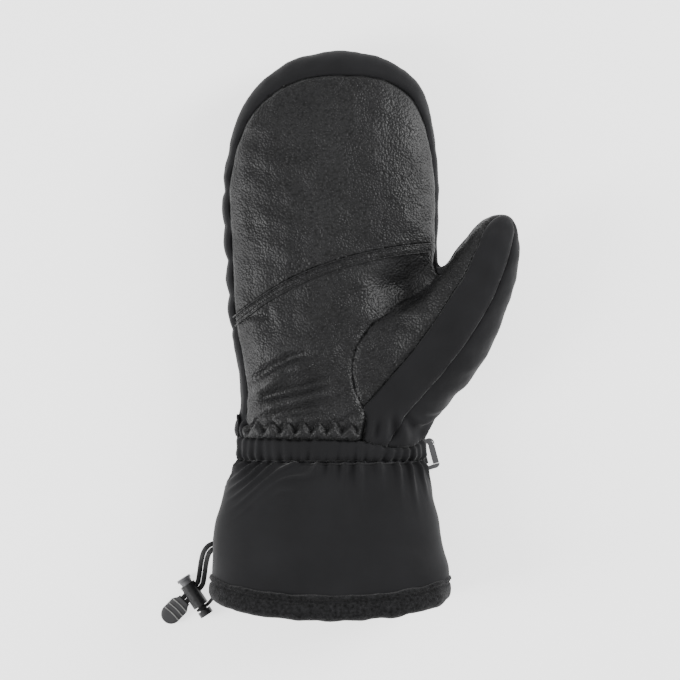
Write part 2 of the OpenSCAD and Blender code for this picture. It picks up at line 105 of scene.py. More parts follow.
# the thickness of a cloth panel, and the least height of cloth above the resting plane
SHEET = 1.2
REST_GAP = 0.4


# ---- numbers and curves ----
def spow(x, power):
    return np.sign(x) * np.abs(x) ** power


def mix(a, b, t):
    return a + (b - a) * t


def smooth(t):
    t = np.clip(t, 0, 1)
    return t * t * (3 - 2 * t)


def bump(d, width):
    return np.exp(-((d / width) ** 2))


def unit(v):
    return v / np.maximum(np.linalg.norm(v, axis=-1, keepdims=True), 1e-9)


def track(*points):
    """A smooth function through (x, value) points, flat beyond its ends."""
    xs, vs = np.array(points, float).T
    slopes = np.gradient(vs, xs)

    def at(x):
        x = np.clip(x, xs[0], xs[-1])
        i = np.clip(np.searchsorted(xs, x) - 1, 0, len(xs) - 2)
        h = xs[i + 1] - xs[i]
        s = (x - xs[i]) / h
        rise = vs[i] * (1 + 2 * s) * (1 - s) ** 2 + vs[i + 1] * s * s * (3 - 2 * s)
        return rise + h * (slopes[i] * s * (1 - s) ** 2 - slopes[i + 1] * s * s * (1 - s))

    return at


def distances(line):
    """The distance along a line to each of its points."""
    return np.concatenate([[0], np.cumsum(np.linalg.norm(np.diff(line, axis=0), axis=1))])


def route(points, step=0.6):
    """A smooth curve through points, with a sample about every step."""
    p = np.array(points, float)
    along = distances(p)
    t = np.linspace(0, along[-1], max(2, int(along[-1] / step) + 1))
    return np.stack([track(*zip(along, c))(t) for c in p.T], axis=1)


def waves(p, seed, length):
    """Soft noise between about -1 and 1, whose features are about length long."""
    count = 7
    rng = np.random.default_rng(seed)
    k = unit(rng.normal(size=(count, 3))) * 2 * np.pi / length * rng.uniform(0.7, 1.4, (count, 1))
    return np.sin(p @ k.T + rng.uniform(0, 2 * np.pi, count)).sum(1) / count ** 0.5


def side_of(curve, p):
    """Distance in plan from a curve, positive on the right of its direction."""
    a = curve[:-1, :2]
    d = curve[1:, :2] - a
    best = np.full(len(p), 1e9)
    sign = np.ones(len(p))
    for start, step in zip(a, d):
        r = p[:, :2] - start
        s = np.clip(r @ step / (step @ step), 0, 1)
        gap = np.linalg.norm(r - s[:, None] * step, axis=1)
        nearer = gap < best
        cross = step[1] * r[:, 0] - step[0] * r[:, 1]
        sign = np.where(nearer, np.sign(cross), sign)
        best = np.where(nearer, gap, best)
    return best * sign


# ---- meshes ----
def mesh_object(name, verts, faces, material):
    mesh = bpy.data.meshes.new(name)
    mesh.from_pydata((np.asarray(verts) * MM).tolist(), [], [tuple(f) for f in faces])
    mesh.materials.append(material)
    mesh.update()
    obj = bpy.data.objects.new(name, mesh)
    bpy.context.scene.collection.objects.link(obj)
    return obj


def build(name, verts, faces, material, slot):
    """A smooth-shaded piece of the mitten. The slot argument is not used."""
    obj = mesh_object(name, verts, faces, material)
    obj.data.shade_smooth()
    return obj


def grid_faces(rows, cols, wrap):
    j, i = np.meshgrid(np.arange(rows - 1), np.arange(cols if wrap else cols - 1), indexing="ij")
    a = j * cols + i
    b = j * cols + (i + 1) % cols
    return np.stack([a, b, b + cols, a + cols], axis=-1).reshape(-1, 4)


def closed_rings(rings):
    """Closed rings joined into a solid with flat ends, as vertices and faces."""
    rows, cols = rings.shape[:2]
    faces = grid_faces(rows, cols, True).tolist()
    faces.append(list(range(cols))[::-1])
    faces.append([(rows - 1) * cols + i for i in range(cols)])
    return rings.reshape(-1, 3), faces


def normals_of(verts, faces):
    q = verts[faces]
    n = np.cross(q[:, 2] - q[:, 0], q[:, 3] - q[:, 1])
    out = np.zeros_like(verts)
    for k in range(4):
        np.add.at(out, faces[:, k], n)
    return unit(out)


def thicken(verts, faces, depth):
    """A sheet of quads given a thickness inwards, with walls round its edges."""
    n = len(verts)
    inner = verts - normals_of(verts, faces) * depth
    a = faces.reshape(-1)
    b = np.roll(faces, -1, axis=1).reshape(-1)
    edge = ~np.isin(b * n + a, a * n + b)
    walls = np.stack([b[edge], a[edge], a[edge] + n, b[edge] + n], axis=1)
    return np.vstack([verts, inner]), np.vstack([faces, faces[:, ::-1] + n, walls])


def sweep(path, radius, sides):
    """A round tube along a path, capped at both ends."""
    a = np.arange(sides) * 2 * np.pi / sides
    tangent = unit(np.gradient(path, axis=0))
    side = unit(np.cross(tangent[0], [0.3, 0.2, 1.0]))
    rings = []
    for p, t in zip(path, tangent):
        side = unit(side - t * (side @ t))
        up = np.cross(t, side)
        rings.append(p + radius * (np.cos(a)[:, None] * side + np.sin(a)[:, None] * up))
    return closed_rings(np.array(rings))


def joined(parts):
    """Several (vertices, faces) pairs as one."""
    verts, faces, base = [], [], 0
    for v, f in parts:
        verts.append(v)
        faces += [[int(k) + base for k in face] for face in f]
        base += len(v)
    return np.vstack(verts), faces


def evaluated(obj):
    """The vertices in millimetres and the quads of an object with its modifiers applied."""
    mesh = obj.evaluated_get(bpy.context.evaluated_depsgraph_get()).to_mesh()
    verts = np.empty(len(mesh.vertices) * 3, np.float32)
    mesh.vertices.foreach_get("co", verts)
    loops = np.empty(len(mesh.loops), np.int32)
    mesh.loops.foreach_get("vertex_index", loops)
    return verts.reshape(-1, 3).astype(float) / MM, loops.reshape(-1, 4).astype(int)


# ---- materials ----
class Surface:
    """A Principled material whose detail comes from procedural textures in object space."""

    def __init__(self, name, color, roughness, specular=0.5, sheen=0.0, sheen_roughness=0.5):
        self.material = bpy.data.materials.new(name)
        self.material.use_nodes = True
        self.tree = self.material.node_tree
        self.shader = self.tree.nodes["Principled BSDF"]
        self.shader.inputs["Base Color"].default_value = (*color, 1)
        self.shader.inputs["Roughness"].default_value = roughness
        self.shader.inputs["Specular IOR Level"].default_value = specular
        self.shader.inputs["Sheen Weight"].default_value = sheen
        self.shader.inputs["Sheen Roughness"].default_value = sheen_roughness
        self.place = self.tree.nodes.new("ShaderNodeTexCoord").outputs["Object"]
        self.color = color
        self.height = None

    def node(self, kind, **sockets):
        node = self.tree.nodes.new(kind)
        for name, value in sockets.items():
            node.inputs[name.replace("_", " ")].default_value = value
        return node

    def texture(self, kind, size_mm, stretch=(1, 1, 1), **sockets):
        """A texture whose features are about size_mm, stretched along the axes."""
        node = self.node(kind, Scale=1 / (size_mm * MM), **sockets)
        turn = self.node("ShaderNodeMapping", Scale=stretch)
        self.tree.links.new(self.place, turn.inputs["Vector"])
        self.tree.links.new(turn.outputs["Vector"], node.inputs["Vector"])
        return node

    def noise(self, size_mm, detail, **sockets):
        return self.texture("ShaderNodeTexNoise", size_mm, Detail=detail, **sockets).outputs["Fac"]

    def relief(self, output, depth_mm, strength, invert=False):
        node = self.node("ShaderNodeBump", Strength=strength, Distance=depth_mm * MM)
        node.invert = invert
        self.tree.links.new(output, node.inputs["Height"])
        if self.height is not None:
            self.tree.links.new(self.height, node.inputs["Normal"])
        self.height = node.outputs["Normal"]
        self.tree.links.new(self.height, self.shader.inputs["Normal"])

    def vary_color(self, output, low, high):
        """Multiplies the colour by low to high as the texture goes from 0.3 to 0.7."""
        ramp = self.tree.nodes.new("ShaderNodeValToRGB")
        ramp.color_ramp.elements[0].position = 0.3
        ramp.color_ramp.elements[1].position = 0.7
        ramp.color_ramp.elements[0].color = (*(c * low for c in self.color), 1)
        ramp.color_ramp.elements[1].color = (*(c * high for c in self.color), 1)
        self.tree.links.new(output, ramp.inputs["Fac"])
        self.tree.links.new(ramp.outputs["Color"], self.shader.inputs["Base Color"])

    def darken_where_high(self, output, start, end, least):
        """Multiplies the colour by 1 to least as the texture goes from start to end."""
        ramp = self.node("ShaderNodeMapRange", From_Min=start, From_Max=end, To_Min=1.0, To_Max=least)
        self.tree.links.new(output, ramp.inputs["Value"])
        color = self.shader.inputs["Base Color"]
        blend = self.tree.nodes.new("ShaderNodeVectorMath")
        blend.operation = "SCALE"
        self.tree.links.new(color.links[0].from_socket, blend.inputs["Vector"])
        self.tree.links.new(ramp.outputs["Result"], blend.inputs["Scale"])
        self.tree.links.new(blend.outputs["Vector"], color)

    def vary_roughness(self, output, low, high):
        node = self.node("ShaderNodeMapRange", From_Min=0.3, From_Max=0.7, To_Min=low, To_Max=high)
        self.tree.links.new(output, node.inputs["Value"])
        self.tree.links.new(node.outputs["Result"], self.shader.inputs["Roughness"])


def softshell():
    cloth = Surface("shell_fabric", (0.0105, 0.0105, 0.0115), 0.86, 0.18, 0.10, 0.45)
    cloth.relief(cloth.noise(0.5, 3.0), 0.10, 0.5)
    cloth.relief(cloth.noise(9, 2.0), 0.5, 0.25)
    cloth.vary_color(cloth.noise(24, 4.0), 0.85, 1.15)
    return cloth.material


def leather():
    """Pebbled leather: rounded cells whose borders are darker, with finer and wider unevenness."""
    hide = Surface("palm_leather", (0.012, 0.012, 0.0125), 0.45, specular=0.30)
    cells = hide.texture("ShaderNodeTexVoronoi", 1.0, Randomness=1.0)
    cells.feature = "SMOOTH_F1"
    hide.relief(cells.outputs["Distance"], 0.42, 1.0, invert=True)
    hide.relief(hide.noise(0.6, 2.0), 0.12, 0.6)
    hide.relief(hide.noise(7, 3.0, Distortion=0.6), 1.0, 0.35)
    hide.vary_color(hide.noise(30, 4.0), 0.75, 1.3)
    hide.darken_where_high(cells.outputs["Distance"], 0.35, 0.75, 0.25)
    hide.vary_roughness(hide.noise(14, 5.0), 0.38, 0.52)
    return hide.material


def knit(name, color, size_mm, depth, sheen):
    wool = Surface(name, color, 0.95, specular=0.12, sheen=sheen)
    wool.relief(wool.texture("ShaderNodeTexVoronoi", size_mm).outputs["Distance"], depth, 0.9)
    wool.relief(wool.noise(size_mm * 0.5, 3.0), depth, 0.7)
    wool.vary_color(wool.noise(1.6, 4.0), 0.3, 2.2)
    return wool.material


def ribbed(name, color, rib_mm, direction):
    band = Surface(name, color, 0.8, specular=0.3, sheen=0.1)
    ribs = band.texture("ShaderNodeTexWave", rib_mm * math.pi, Distortion=0.4)
    ribs.bands_direction = direction
    band.relief(ribs.outputs["Fac"], 0.25, 0.8)
    band.relief(band.noise(0.4, 2.0), 0.1, 0.6)
    return band.material


def moulded(name, color, roughness):
    plastic = Surface(name, color, roughness)
    plastic.relief(plastic.noise(0.35, 3.0), 0.05, 0.5)
    plastic.vary_roughness(plastic.noise(1.8, 6.0), roughness - 0.08, roughness + 0.12)
    plastic.vary_color(plastic.noise(5, 3.0), 0.85, 1.15)
    return plastic.material


def braid(name, tone):
    yarn = Surface(name, (tone, tone, tone * 1.05), 0.8, specular=0.15, sheen=0.08)
    weave = yarn.texture("ShaderNodeTexVoronoi", 0.7, Randomness=0.4)
    yarn.relief(weave.outputs["Distance"], 0.3, 0.9, invert=True)
    yarn.vary_color(yarn.noise(1.2, 2.0), 0.6, 1.6)
    return yarn.material


def spring_steel():
    steel = Surface("spring_wire", (0.55, 0.55, 0.56), 0.32)
    steel.shader.inputs["Metallic"].default_value = 1.0
    steel.relief(steel.noise(0.15, 2.0, stretch=(1, 6, 1)), 0.02, 0.4)
    steel.vary_roughness(steel.noise(0.8, 3.0), 0.25, 0.42)
    return steel.material


def woven_label():
    ribbon = Surface("label", (0.62, 0.62, 0.60), 0.85, specular=0.2)
    ribbon.relief(ribbon.texture("ShaderNodeTexWave", 1.2, Distortion=0.2).outputs["Fac"], 0.08, 0.6)
    ribbon.vary_color(ribbon.noise(2, 4.0), 0.93, 1.05)
    return ribbon.material


SHELL = softshell()
LEATHER = leather()
KNIT = knit("hem_knit", (0.0085, 0.0085, 0.009), 0.8, 0.3, 0.10)
FLEECE = knit("fleece", (0.020, 0.020, 0.022), 1.6, 0.6, 0.3)
WEBBING = ribbed("webbing", (0.012, 0.012, 0.013), 0.9, "Y")
CORD = braid("cord", 0.010)
THREAD = braid("thread", 0.006)
BLACK_PLASTIC = moulded("black_plastic", (0.012, 0.012, 0.013), 0.34)
GREY_PLASTIC = moulded("grey_plastic", (0.11, 0.11, 0.115), 0.42)
TAB_RUBBER = moulded("soft_tab", (0.030, 0.030, 0.032), 0.55)
TAB_RIB = moulded("tab_rib", (0.19, 0.19, 0.185), 0.6)
SPRING = spring_steel()
LABEL = woven_label()


# ---- the camera, straight above the palm ----
PICTURE_WIDTH = 0.3624
PICTURE_CENTRE = (0.0048, -0.0024)
CAMERA_HEIGHT = 1.15
FOCUS_Z = 0.025
camera = bpy.data.objects.new("camera", bpy.data.cameras.new("camera"))
camera.data.lens = camera.data.sensor_width * CAMERA_HEIGHT / PICTURE_WIDTH
camera.location = (*PICTURE_CENTRE, FOCUS_Z + CAMERA_HEIGHT)
bpy.context.scene.collection.objects.link(camera)
bpy.context.scene.camera = camera


# ---- the drawcord's free loop ----
CORD_DIAMETER = 2.7
# half the distance between the two strands
LOOP_HALF_PITCH = 1.43
# from the eyelet, over the lock and into the tab
LOOP_ROUTE = [
    (-61.4, -112, 26.5), (-62.6, -112.2, 26.4), (-64.1, -112.9, 25.7), (-65.5, -114.3, 23.9),
    (-66.7, -116.2, 21), (-67.6, -118.4, 17.4), (-68.3, -120.7, 13.8), (-68.9, -123.1, 10.6),
    (-69.4, -125.6, 8.1), (-69.8, -128.1, 6.5), (-70.2, -130.6, 5.5), (-70.6, -132.8, 4.9),
    (-71, -134.3, 4.7), (-71.83, -135.5, 4.6), (-75.3, -139.1, 4.5), (-79.61, -143.56, 4.15),
    (-81.55, -145.57, 3.86),
]


def strand_path(side):
    middle = route(LOOP_ROUTE, 0.7)
    across = unit(np.cross(unit(np.gradient(middle, axis=0)), UP))
    return middle + side * LOOP_HALF_PITCH * across


def make_cords():
    strands = []
    for name, side in (("draw_cord_inner", -1), ("draw_cord_outer", 1)):
        path = strand_path(side)
        verts, faces = sweep(path, CORD_DIAMETER / 2, 14)
        strands.append((build(name, verts, faces, CORD, "cord"), path))
    return strands


cord_strands = make_cords()
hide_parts("draw_loop")


# ---- the padded hand and thumb, as one swollen form ----
# the hand's sides as (y, x), without the thumb
left_edge = track(
    (-70, -49.8), (-54, -49.6), (-46, -48.6), (-34, -48), (-15, -50), (10, -53.5), (42, -56), (74, -57),
)
right_edge = track((-70, 49.8), (-54, 49.6), (-20, 53), (20, 56.5), (60, 57), (90, 57))
# the thumb: T runs along it, N outwards across it and M up out of it
THUMB_ROOT = np.array([34.5, -34.5, 24.0])
THUMB_SPLAY = math.radians(33.8)
THUMB_RISE = math.radians(9.5)
THUMB_T = np.array([
    math.sin(THUMB_SPLAY) * math.cos(THUMB_RISE),
    math.cos(THUMB_SPLAY) * math.cos(THUMB_RISE),
    math.sin(THUMB_RISE),
])
THUMB_N = np.array([math.cos(THUMB_SPLAY), -math.sin(THUMB_SPLAY), 0.0])
THUMB_M = np.cross(THUMB_N, THUMB_T)
THUMB_TIP = 115.2
THUMB_WIDEST = 30.0
THUMB_HALF = 26.7
THUMB_DEPTH = 20.0
THUMB_POWER = 1 / 1.1
thumb_slim = track((40, 1), (60, 0.97), (72, 0.9), (80, 0.87), (90, 0.87), (114, 0.92))
thumb_bend = track(
    (20, -0.5), (50, -0.8), (66, -0.4), (79, 0.7), (87, 0), (96, -1.5), (104, -3.4), (114, -5.0),
)
# the ball of the thumb, as places and half sizes along T, N and M
BALL_AT = (16, -9, 1.5)
BALL_HALF = (44, 27, 17.2)


def thumb_taper(t):
    root = 1 - 0.0052 * (THUMB_WIDEST - t)
    tip = np.sqrt(np.clip(1 - ((t - THUMB_WIDEST) / (THUMB_TIP - THUMB_WIDEST)) ** 2, 1e-4, 1))
    return np.where(t < THUMB_WIDEST, root, tip)


def thumb_at(t, n, m):
    place = THUMB_ROOT + np.multiply.outer(t, THUMB_T)
    return place + np.multiply.outer(n, THUMB_N) + np.multiply.outer(m, THUMB_M)


def thumb_ring(t, u):
    a = THUMB_HALF * thumb_taper(t) * thumb_slim(t)
    b = THUMB_DEPTH * thumb_taper(t)
    n = thumb_bend(t) + a * spow(np.cos(u), THUMB_POWER)
    return thumb_at(np.broadcast_to(t, n.shape), n, b * spow(np.sin(u), THUMB_POWER))


def thumb_coordinates(p):
    """Distance along the thumb and angle round it in degrees, 0 outwards and 90 up."""
    r = p - THUMB_ROOT
    t = r @ THUMB_T
    a = THUMB_HALF * thumb_taper(t) * thumb_slim(t)
    n = (r @ THUMB_N - thumb_bend(t)) / a
    m = r @ THUMB_M / (THUMB_DEPTH * thumb_taper(t))
    return t, np.degrees(np.arctan2(spow(m, 1 / THUMB_POWER), spow(n, 1 / THUMB_POWER)))


def hand_ring(y, half_share, depth_share, lift, shift, u, inset=0.0):
    """A cross-section of the hand, with shares of its width and depth, raised and shifted."""
    s = np.clip((y - wrist_y) / (knuckle_y - wrist_y), 0, 1)
    depth = mix(wrist_depth, 23.5, smooth(2.6 * s)) - 1.5 * smooth(s)
    centre_z = mix(wrist_z, 22, smooth(3 * s)) - 0.6 * smooth(s) + lift
    left = left_edge(y)
    right = right_edge(y)
    half = (right - left) / 2 * half_share - inset
    x = (left + right) / 2 + shift + half * spow(np.cos(u), RING_POWER)
    z = centre_z + (depth * depth_share - inset) * spow(np.sin(u), RING_POWER)
    return np.stack([x, np.full_like(x, y), np.maximum(z, 0.5 + inset)], axis=-1)


def hand_rings(inset=0.0, start=wrist_y - 16, steps=72):
    u = np.linspace(0, 2 * np.pi, steps, endpoint=False)
    rings = [hand_ring(y, 1, 1, 0, 0, u, inset) for y in np.linspace(start, knuckle_y, 40)]
    for turn in np.radians(np.linspace(3, 86.5, 26)):
        reach = tip_y - knuckle_y - inset
        y = knuckle_y + reach * math.sin(turn) ** TIP_POWER
        share = math.cos(turn)
        rise = turn / (math.pi / 2)
        lift = 6 * rise ** 2
        shift = 4.4 * smooth(1.5 * rise)
        ring = hand_ring(knuckle_y, share ** TIP_POWER, share ** 1.1, lift, shift, u, inset * share)
        ring[:, 1] = y
        rings.append(ring)
    return np.array(rings)


def thumb_rings():
    u = np.linspace(0, 2 * np.pi, 60, endpoint=False)
    tip = THUMB_TIP - 24.3 * np.cos(np.radians(np.linspace(4, 89, 18)))
    return np.array([thumb_ring(t, u) for t in (*np.linspace(-22, 90, 40), *tip)])


def thenar_rings():
    """The ball of the thumb, which fills the palm leather beside the thumb's root."""
    rings = []
    u = np.linspace(0, 2 * np.pi, 48, endpoint=False)
    for a in np.radians(np.linspace(4, 176, 30)):
        n = BALL_AT[1] + BALL_HALF[1] * math.sin(a) * np.cos(u)
        m = BALL_AT[2] + BALL_HALF[2] * math.sin(a) * np.sin(u)
        t = np.full_like(n, BALL_AT[0] - BALL_HALF[0] * math.cos(a))
        rings.append(thumb_at(t, n, m))
    return np.array(rings)


def neighbours(faces):
    """Both ends of each edge, once from either end."""
    a = faces.reshape(-1)
    b = np.roll(faces, -1, axis=1).reshape(-1)
    return np.concatenate([a, b]), np.concatenate([b, a])


def relax(verts, faces, weight, rounds):
    """Vertices drawn towards the middle of their neighbours, as far as their weight says."""
    a, b = neighbours(faces)
    count = np.bincount(a, minlength=len(verts))[:, None]
    for _ in range(rounds):
        total = np.stack([np.bincount(a, verts[b, k], len(verts)) for k in range(3)], axis=1)
        verts = verts + weight[:, None] * (total / count - verts)
    return verts


CROTCH_DIP = (41, 25)
CROTCH_DIP_WIDTH = 17
VOXEL = 2.3


def near_crotch(x, y, length):
    """1 in the dip between palm and thumb, fading to 0 round it."""
    across = (x - CROTCH_DIP[0]) / CROTCH_DIP_WIDTH
    return np.exp(-(across ** 2 + ((y - CROTCH_DIP[1]) / length) ** 2))


def remade(verts, faces, kind, **settings):
    """A mesh after one modifier."""
    obj = mesh_object("form", verts, faces, LEATHER)
    modifier = obj.modifiers.new("form", kind)
    for setting, value in settings.items():
        setattr(modifier, setting, value)
    result = evaluated(obj)
    bpy.data.objects.remove(obj)
    return result


def swollen_form():
    """Hand, thumb and ball of the thumb, merged and smoothed."""
    verts, faces = joined([closed_rings(r) for r in (hand_rings(), thumb_rings(), thenar_rings())])
    verts, faces = remade(verts, faces, "REMESH", mode="VOXEL", voxel_size=VOXEL * MM)
    verts = relax(verts, faces, np.full(len(verts), 0.5), 5)
    # the ball of the thumb flows into the palm
    t, angle = thumb_coordinates(verts)
    mound = (verts[:, 2] > 28) * smooth((56 - t) / 22) * smooth((t + 25) / 10) * bump(angle - 140, 32)
    verts = relax(verts, faces, 0.6 * mound, 45)
    # the dip between palm and thumb is smoothed too
    x, y, z = verts.T
    verts = relax(verts, faces, 0.6 * near_crotch(x, y, 15) * (z > 22), 30)
    return remade(verts, faces, "SUBSURF", levels=1, render_levels=1)


# ---- seams ----
PALM_MIDDLE = 0.85
PALM_HALF = 55.1
PALM_TOP = 68.0
LEFT_POWER = 2 / 2.3
left_border = track((-60, -46.8), (-34, -45.5), (-15, -47.4), (10, -50.8), (42, -53.4), (70, -54.25))


def palm_outline():
    """The palm leather's border: up the left side, round the fingertips and down to the crotch."""
    y = np.arange(wrist_y - 6, knuckle_y, 3.0)
    left = np.stack([left_border(y), y], axis=1)
    a = np.radians(np.arange(180, -1, -3.0))
    on_left = a > math.pi / 2
    top = np.stack([
        PALM_MIDDLE + PALM_HALF * spow(np.cos(a), np.where(on_left, LEFT_POWER, 2 / 3.4)),
        knuckle_y + PALM_TOP * np.abs(np.sin(a)) ** np.where(on_left, LEFT_POWER, 2 / 2.6),
    ], axis=1)
    right = np.array([(PALM_MIDDLE + PALM_HALF, v) for v in np.arange(66, 30, -6.0)])
    return np.vstack([left, top, right])


# the slanting seam of the palm and the thumb leather's border, in plan
DIAGONAL = [(-53.5, 8.9), (-36, 21.5), (-16.5, 32.2), (15.5, 42.9), (36, 47), (57, 49.3)]
TEARDROP = [
    (16.8, -66), (17, -55), (18.3, -42), (12.8, -28.5), (11.2, -17.9), (13.9, -5.6),
    (21.3, 5.1), (35.2, 15.7), (47, 24.5), (57, 36),
]
# the thumb's seams, as angles round it in degrees at distances along it
leather_low = track(
    (-24, 118), (-12, 112), (10, 109), (34, 103), (60, 104), (84, 119), (103, 139), (112, 160),
)
side_low = track((-24, 74), (-9, 70), (13, 65), (42, 61), (68, 56), (94, 54), (107, 41), (113, 20))
inner_low = track((68, 189), (80, 215), (96, 232), (112, 240))
back_low = track((-24, -58), (0, -80), (40, -110), (60, -150), (68, -171))
CROTCH = (57.3, 36.0)
PALM_RIM_Z = 21


def laid_on(tree, plan):
    """A line in plan dropped onto the surface from above."""
    found = []
    for x, y in plan:
        above = Vector((x, y, 120))
        hit = tree.ray_cast(above, Vector((0, 0, -1)))[0]
        found.append(hit if hit is not None else tree.find_nearest(above)[0])
    return np.array(found)


def seam_round_thumb(tree, angle_at, start, end):
    """A seam along the thumb, cast outwards from its middle line."""
    points = []
    for t in np.arange(start, end, 0.6):
        u = np.radians([float(angle_at(t))])
        middle = thumb_at(t, float(thumb_bend(t)), 0)
        hit = tree.ray_cast(Vector(middle), Vector(thumb_ring(t, u)[0] - middle))[0]
        if hit is not None:
            points.append(hit)
    return np.array(points)


def nearest(samples, verts):
    """The index of each vertex's nearest sample, and its distance."""
    tree = KDTree(len(samples))
    for i, p in enumerate(samples):
        tree.insert(Vector(p), i)
    tree.balance()
    found = [tree.find(v)[1:] for v in verts.tolist()]
    index, distance = zip(*found)
    return np.array(index), np.array(distance)


wrist_dip = track((-50, -53.6), (-20, -54.6), (17, -55.7), (36, -59.2), (46, -57.3), (50, -54.4))


def wrist_line(x, z):
    """Where the wrist seam runs: dipped under the thumb on the palm side, straight behind."""
    return mix(wrist_y, wrist_dip(x) + (wrist_y + 54), smooth((z - 12) / 16))


PANELS = ["back_shell", "upper_palm", "lower_palm", "thumb_palm", "thumb_side", "thumb_back"]
BACK, UPPER, LOWER, THUMB_PALM, THUMB_SIDE, THUMB_BACK = range(6)


def panel_of(p, outline, diagonal, teardrop):
    """The panel that each point lies in."""
    t, angle = thumb_coordinates(p)
    x, y, z = p.T
    on_top = z > PALM_RIM_Z
    beyond = x > CROTCH[0] + 0.8 * (y - CROTCH[1])
    beside = np.where(on_top, side_of(teardrop, p) > 0, (angle > back_low(t)) & (angle < 120))
    thumb = np.where(y > CROTCH[1], beyond, beside)
    inner = np.where(t > 66, inner_low(t), 270)
    around = np.where(angle < back_low(t), angle + 360, angle)
    thumb_panel = np.where(around > inner, THUMB_BACK, THUMB_PALM)
    thumb_panel = np.where(angle < leather_low(t), THUMB_SIDE, thumb_panel)
    thumb_panel = np.where((angle < side_low(t)) & (around < 270), THUMB_BACK, thumb_panel)
    inside = (side_of(outline, p) > 0) & on_top
    hand_panel = np.where(side_of(diagonal, p) > 0, LOWER, UPPER)
    hand_panel = np.where(inside, hand_panel, BACK)
    return np.where(thumb, thumb_panel, hand_panel)


def crotch_hollow(x, y, z):
    """How much of the palm's sinking beside the thumb's root a point takes part in."""
    return near_crotch(x, y, 12) * smooth((z - 22) / 6)


def zigzag(x, period, first):
    """Straight teeth from -1 to 1, with a low point at first."""
    return 1 - 4 * np.abs(((x - first) / period) % 1 - 0.5)


# rows of stitches and raised edges, by their distance below the slanting seam
STITCH_ROWS = (1.5, 3.2)
WELTS = (0.35, 4.7)
# folds as (line in plan, height, width)
PALM_FOLDS = [
    ([(-52, 4), (-46, 9), (-34, 13)], 1.6, 2.6),
    ([(-46, -29), (-36, -20.5), (-24, -13.5), (-6, -8)], 2.4, 3.6),
    ([(-46, -37), (-34, -32.5), (-16, -28), (4, -22.5)], 2.2, 3.6),
    ([(-44, -46), (-20, -40), (4, -37)], 1.0, 3.0),
]
TOOTH_PITCH = 8.1
TOOTH_FIRST = -43.05
TOOTH_Y = -47.8
GATHER_PITCH = 5.8
PUFF_PITCH = 18.5
PALM_SINKS = 9.5
LINING_SINKS = 11


def palm_folds(verts):
    """Raised folds, each with a crease beside it, which fade out towards their ends."""
    move = np.zeros(len(verts))
    for points, height, width in PALM_FOLDS:
        fold = route(points, 2)
        gap = side_of(fold, verts)
        ends = np.linalg.norm(verts[:, None, :2] - fold[[0, -1], :2], axis=2).min(1)
        profile = 0.8 * bump(gap - 1.5 * width, width) - bump(gap, 0.8 * width)
        move += smooth(ends / 14) * height * profile
    return move


def wrist_gathers(verts, n, top):
    """Pointed puckers in the leather above the wrist seam, and upright ones elsewhere."""
    x, y, z = verts.T
    dip = y - (TOOTH_Y + 3.0 * zigzag(x, TOOTH_PITCH, TOOTH_FIRST))
    span = smooth((x + 49) / 3) * smooth((16 - x) / 3) * top
    teeth = span * bump(y + 50, 8) * (2.4 * smooth(-dip / 2.6) - 1.9 * bump(dip - 0.6, 1.2))
    along = np.where(n[:, 2] > -0.3, x, -x) + z + 1.2 * waves(verts, 5, 30)
    upright = (1 - span) * bump(y - wrist_y - 4, 6.5)
    return teeth + upright * 1.5 * np.sin(2 * np.pi * along / GATHER_PITCH)


def shaped(verts, faces, seams, diagonal, panels):
    """Seam grooves, puffs, folds and gathers, as moves along the surface's normals."""
    n = normals_of(verts, faces)
    x, y, z = verts.T
    top = smooth((n[:, 2] + 0.2) / 0.6)
    move = np.zeros(len(verts))
    closest = np.full(len(verts), 1e9)
    for samples, depth, width in seams:
        index, distance = nearest(samples, verts)
        depth = np.broadcast_to(depth, len(samples))[index]
        width = np.broadcast_to(width, len(samples))[index]
        move -= depth * bump(distance, width)
        closest = np.minimum(closest, distance)
    fabric = np.isin(panels, (BACK, THUMB_SIDE, THUMB_BACK))
    move += np.where(fabric, 1.0, 0.5) * (1 - bump(closest, 7))
    # the slanting seam's overlap, a flat band that carries two rows of stitches
    below = side_of(diagonal, verts)
    leather = np.isin(panels, (UPPER, LOWER))
    move += leather * 0.6 * smooth((below + 0.4) / 0.7) * smooth((5.6 - below) / 0.8)
    move += (panels == LOWER) * top * palm_folds(verts)
    move += wrist_gathers(verts, n, top)
    # puffs of the back shell along the left side
    left = (panels == BACK) * smooth((-x - 44) / 6) * smooth((y + 4) / 8) * smooth((92 - y) / 10)
    move += left * (1.5 * np.abs(np.sin(np.pi * (y - 3) / PUFF_PITCH)) - 0.8)
    # slack and creases
    move += 0.55 * waves(verts, 11, 46) + 0.22 * waves(verts, 12, 17) + 0.07 * waves(verts, 13, 7)
    out = verts + n * move[:, None]
    out[:, 2] -= PALM_SINKS * crotch_hollow(x, y, z) * leather
    out[:, 2] = np.maximum(out[:, 2], REST_GAP)
    return out


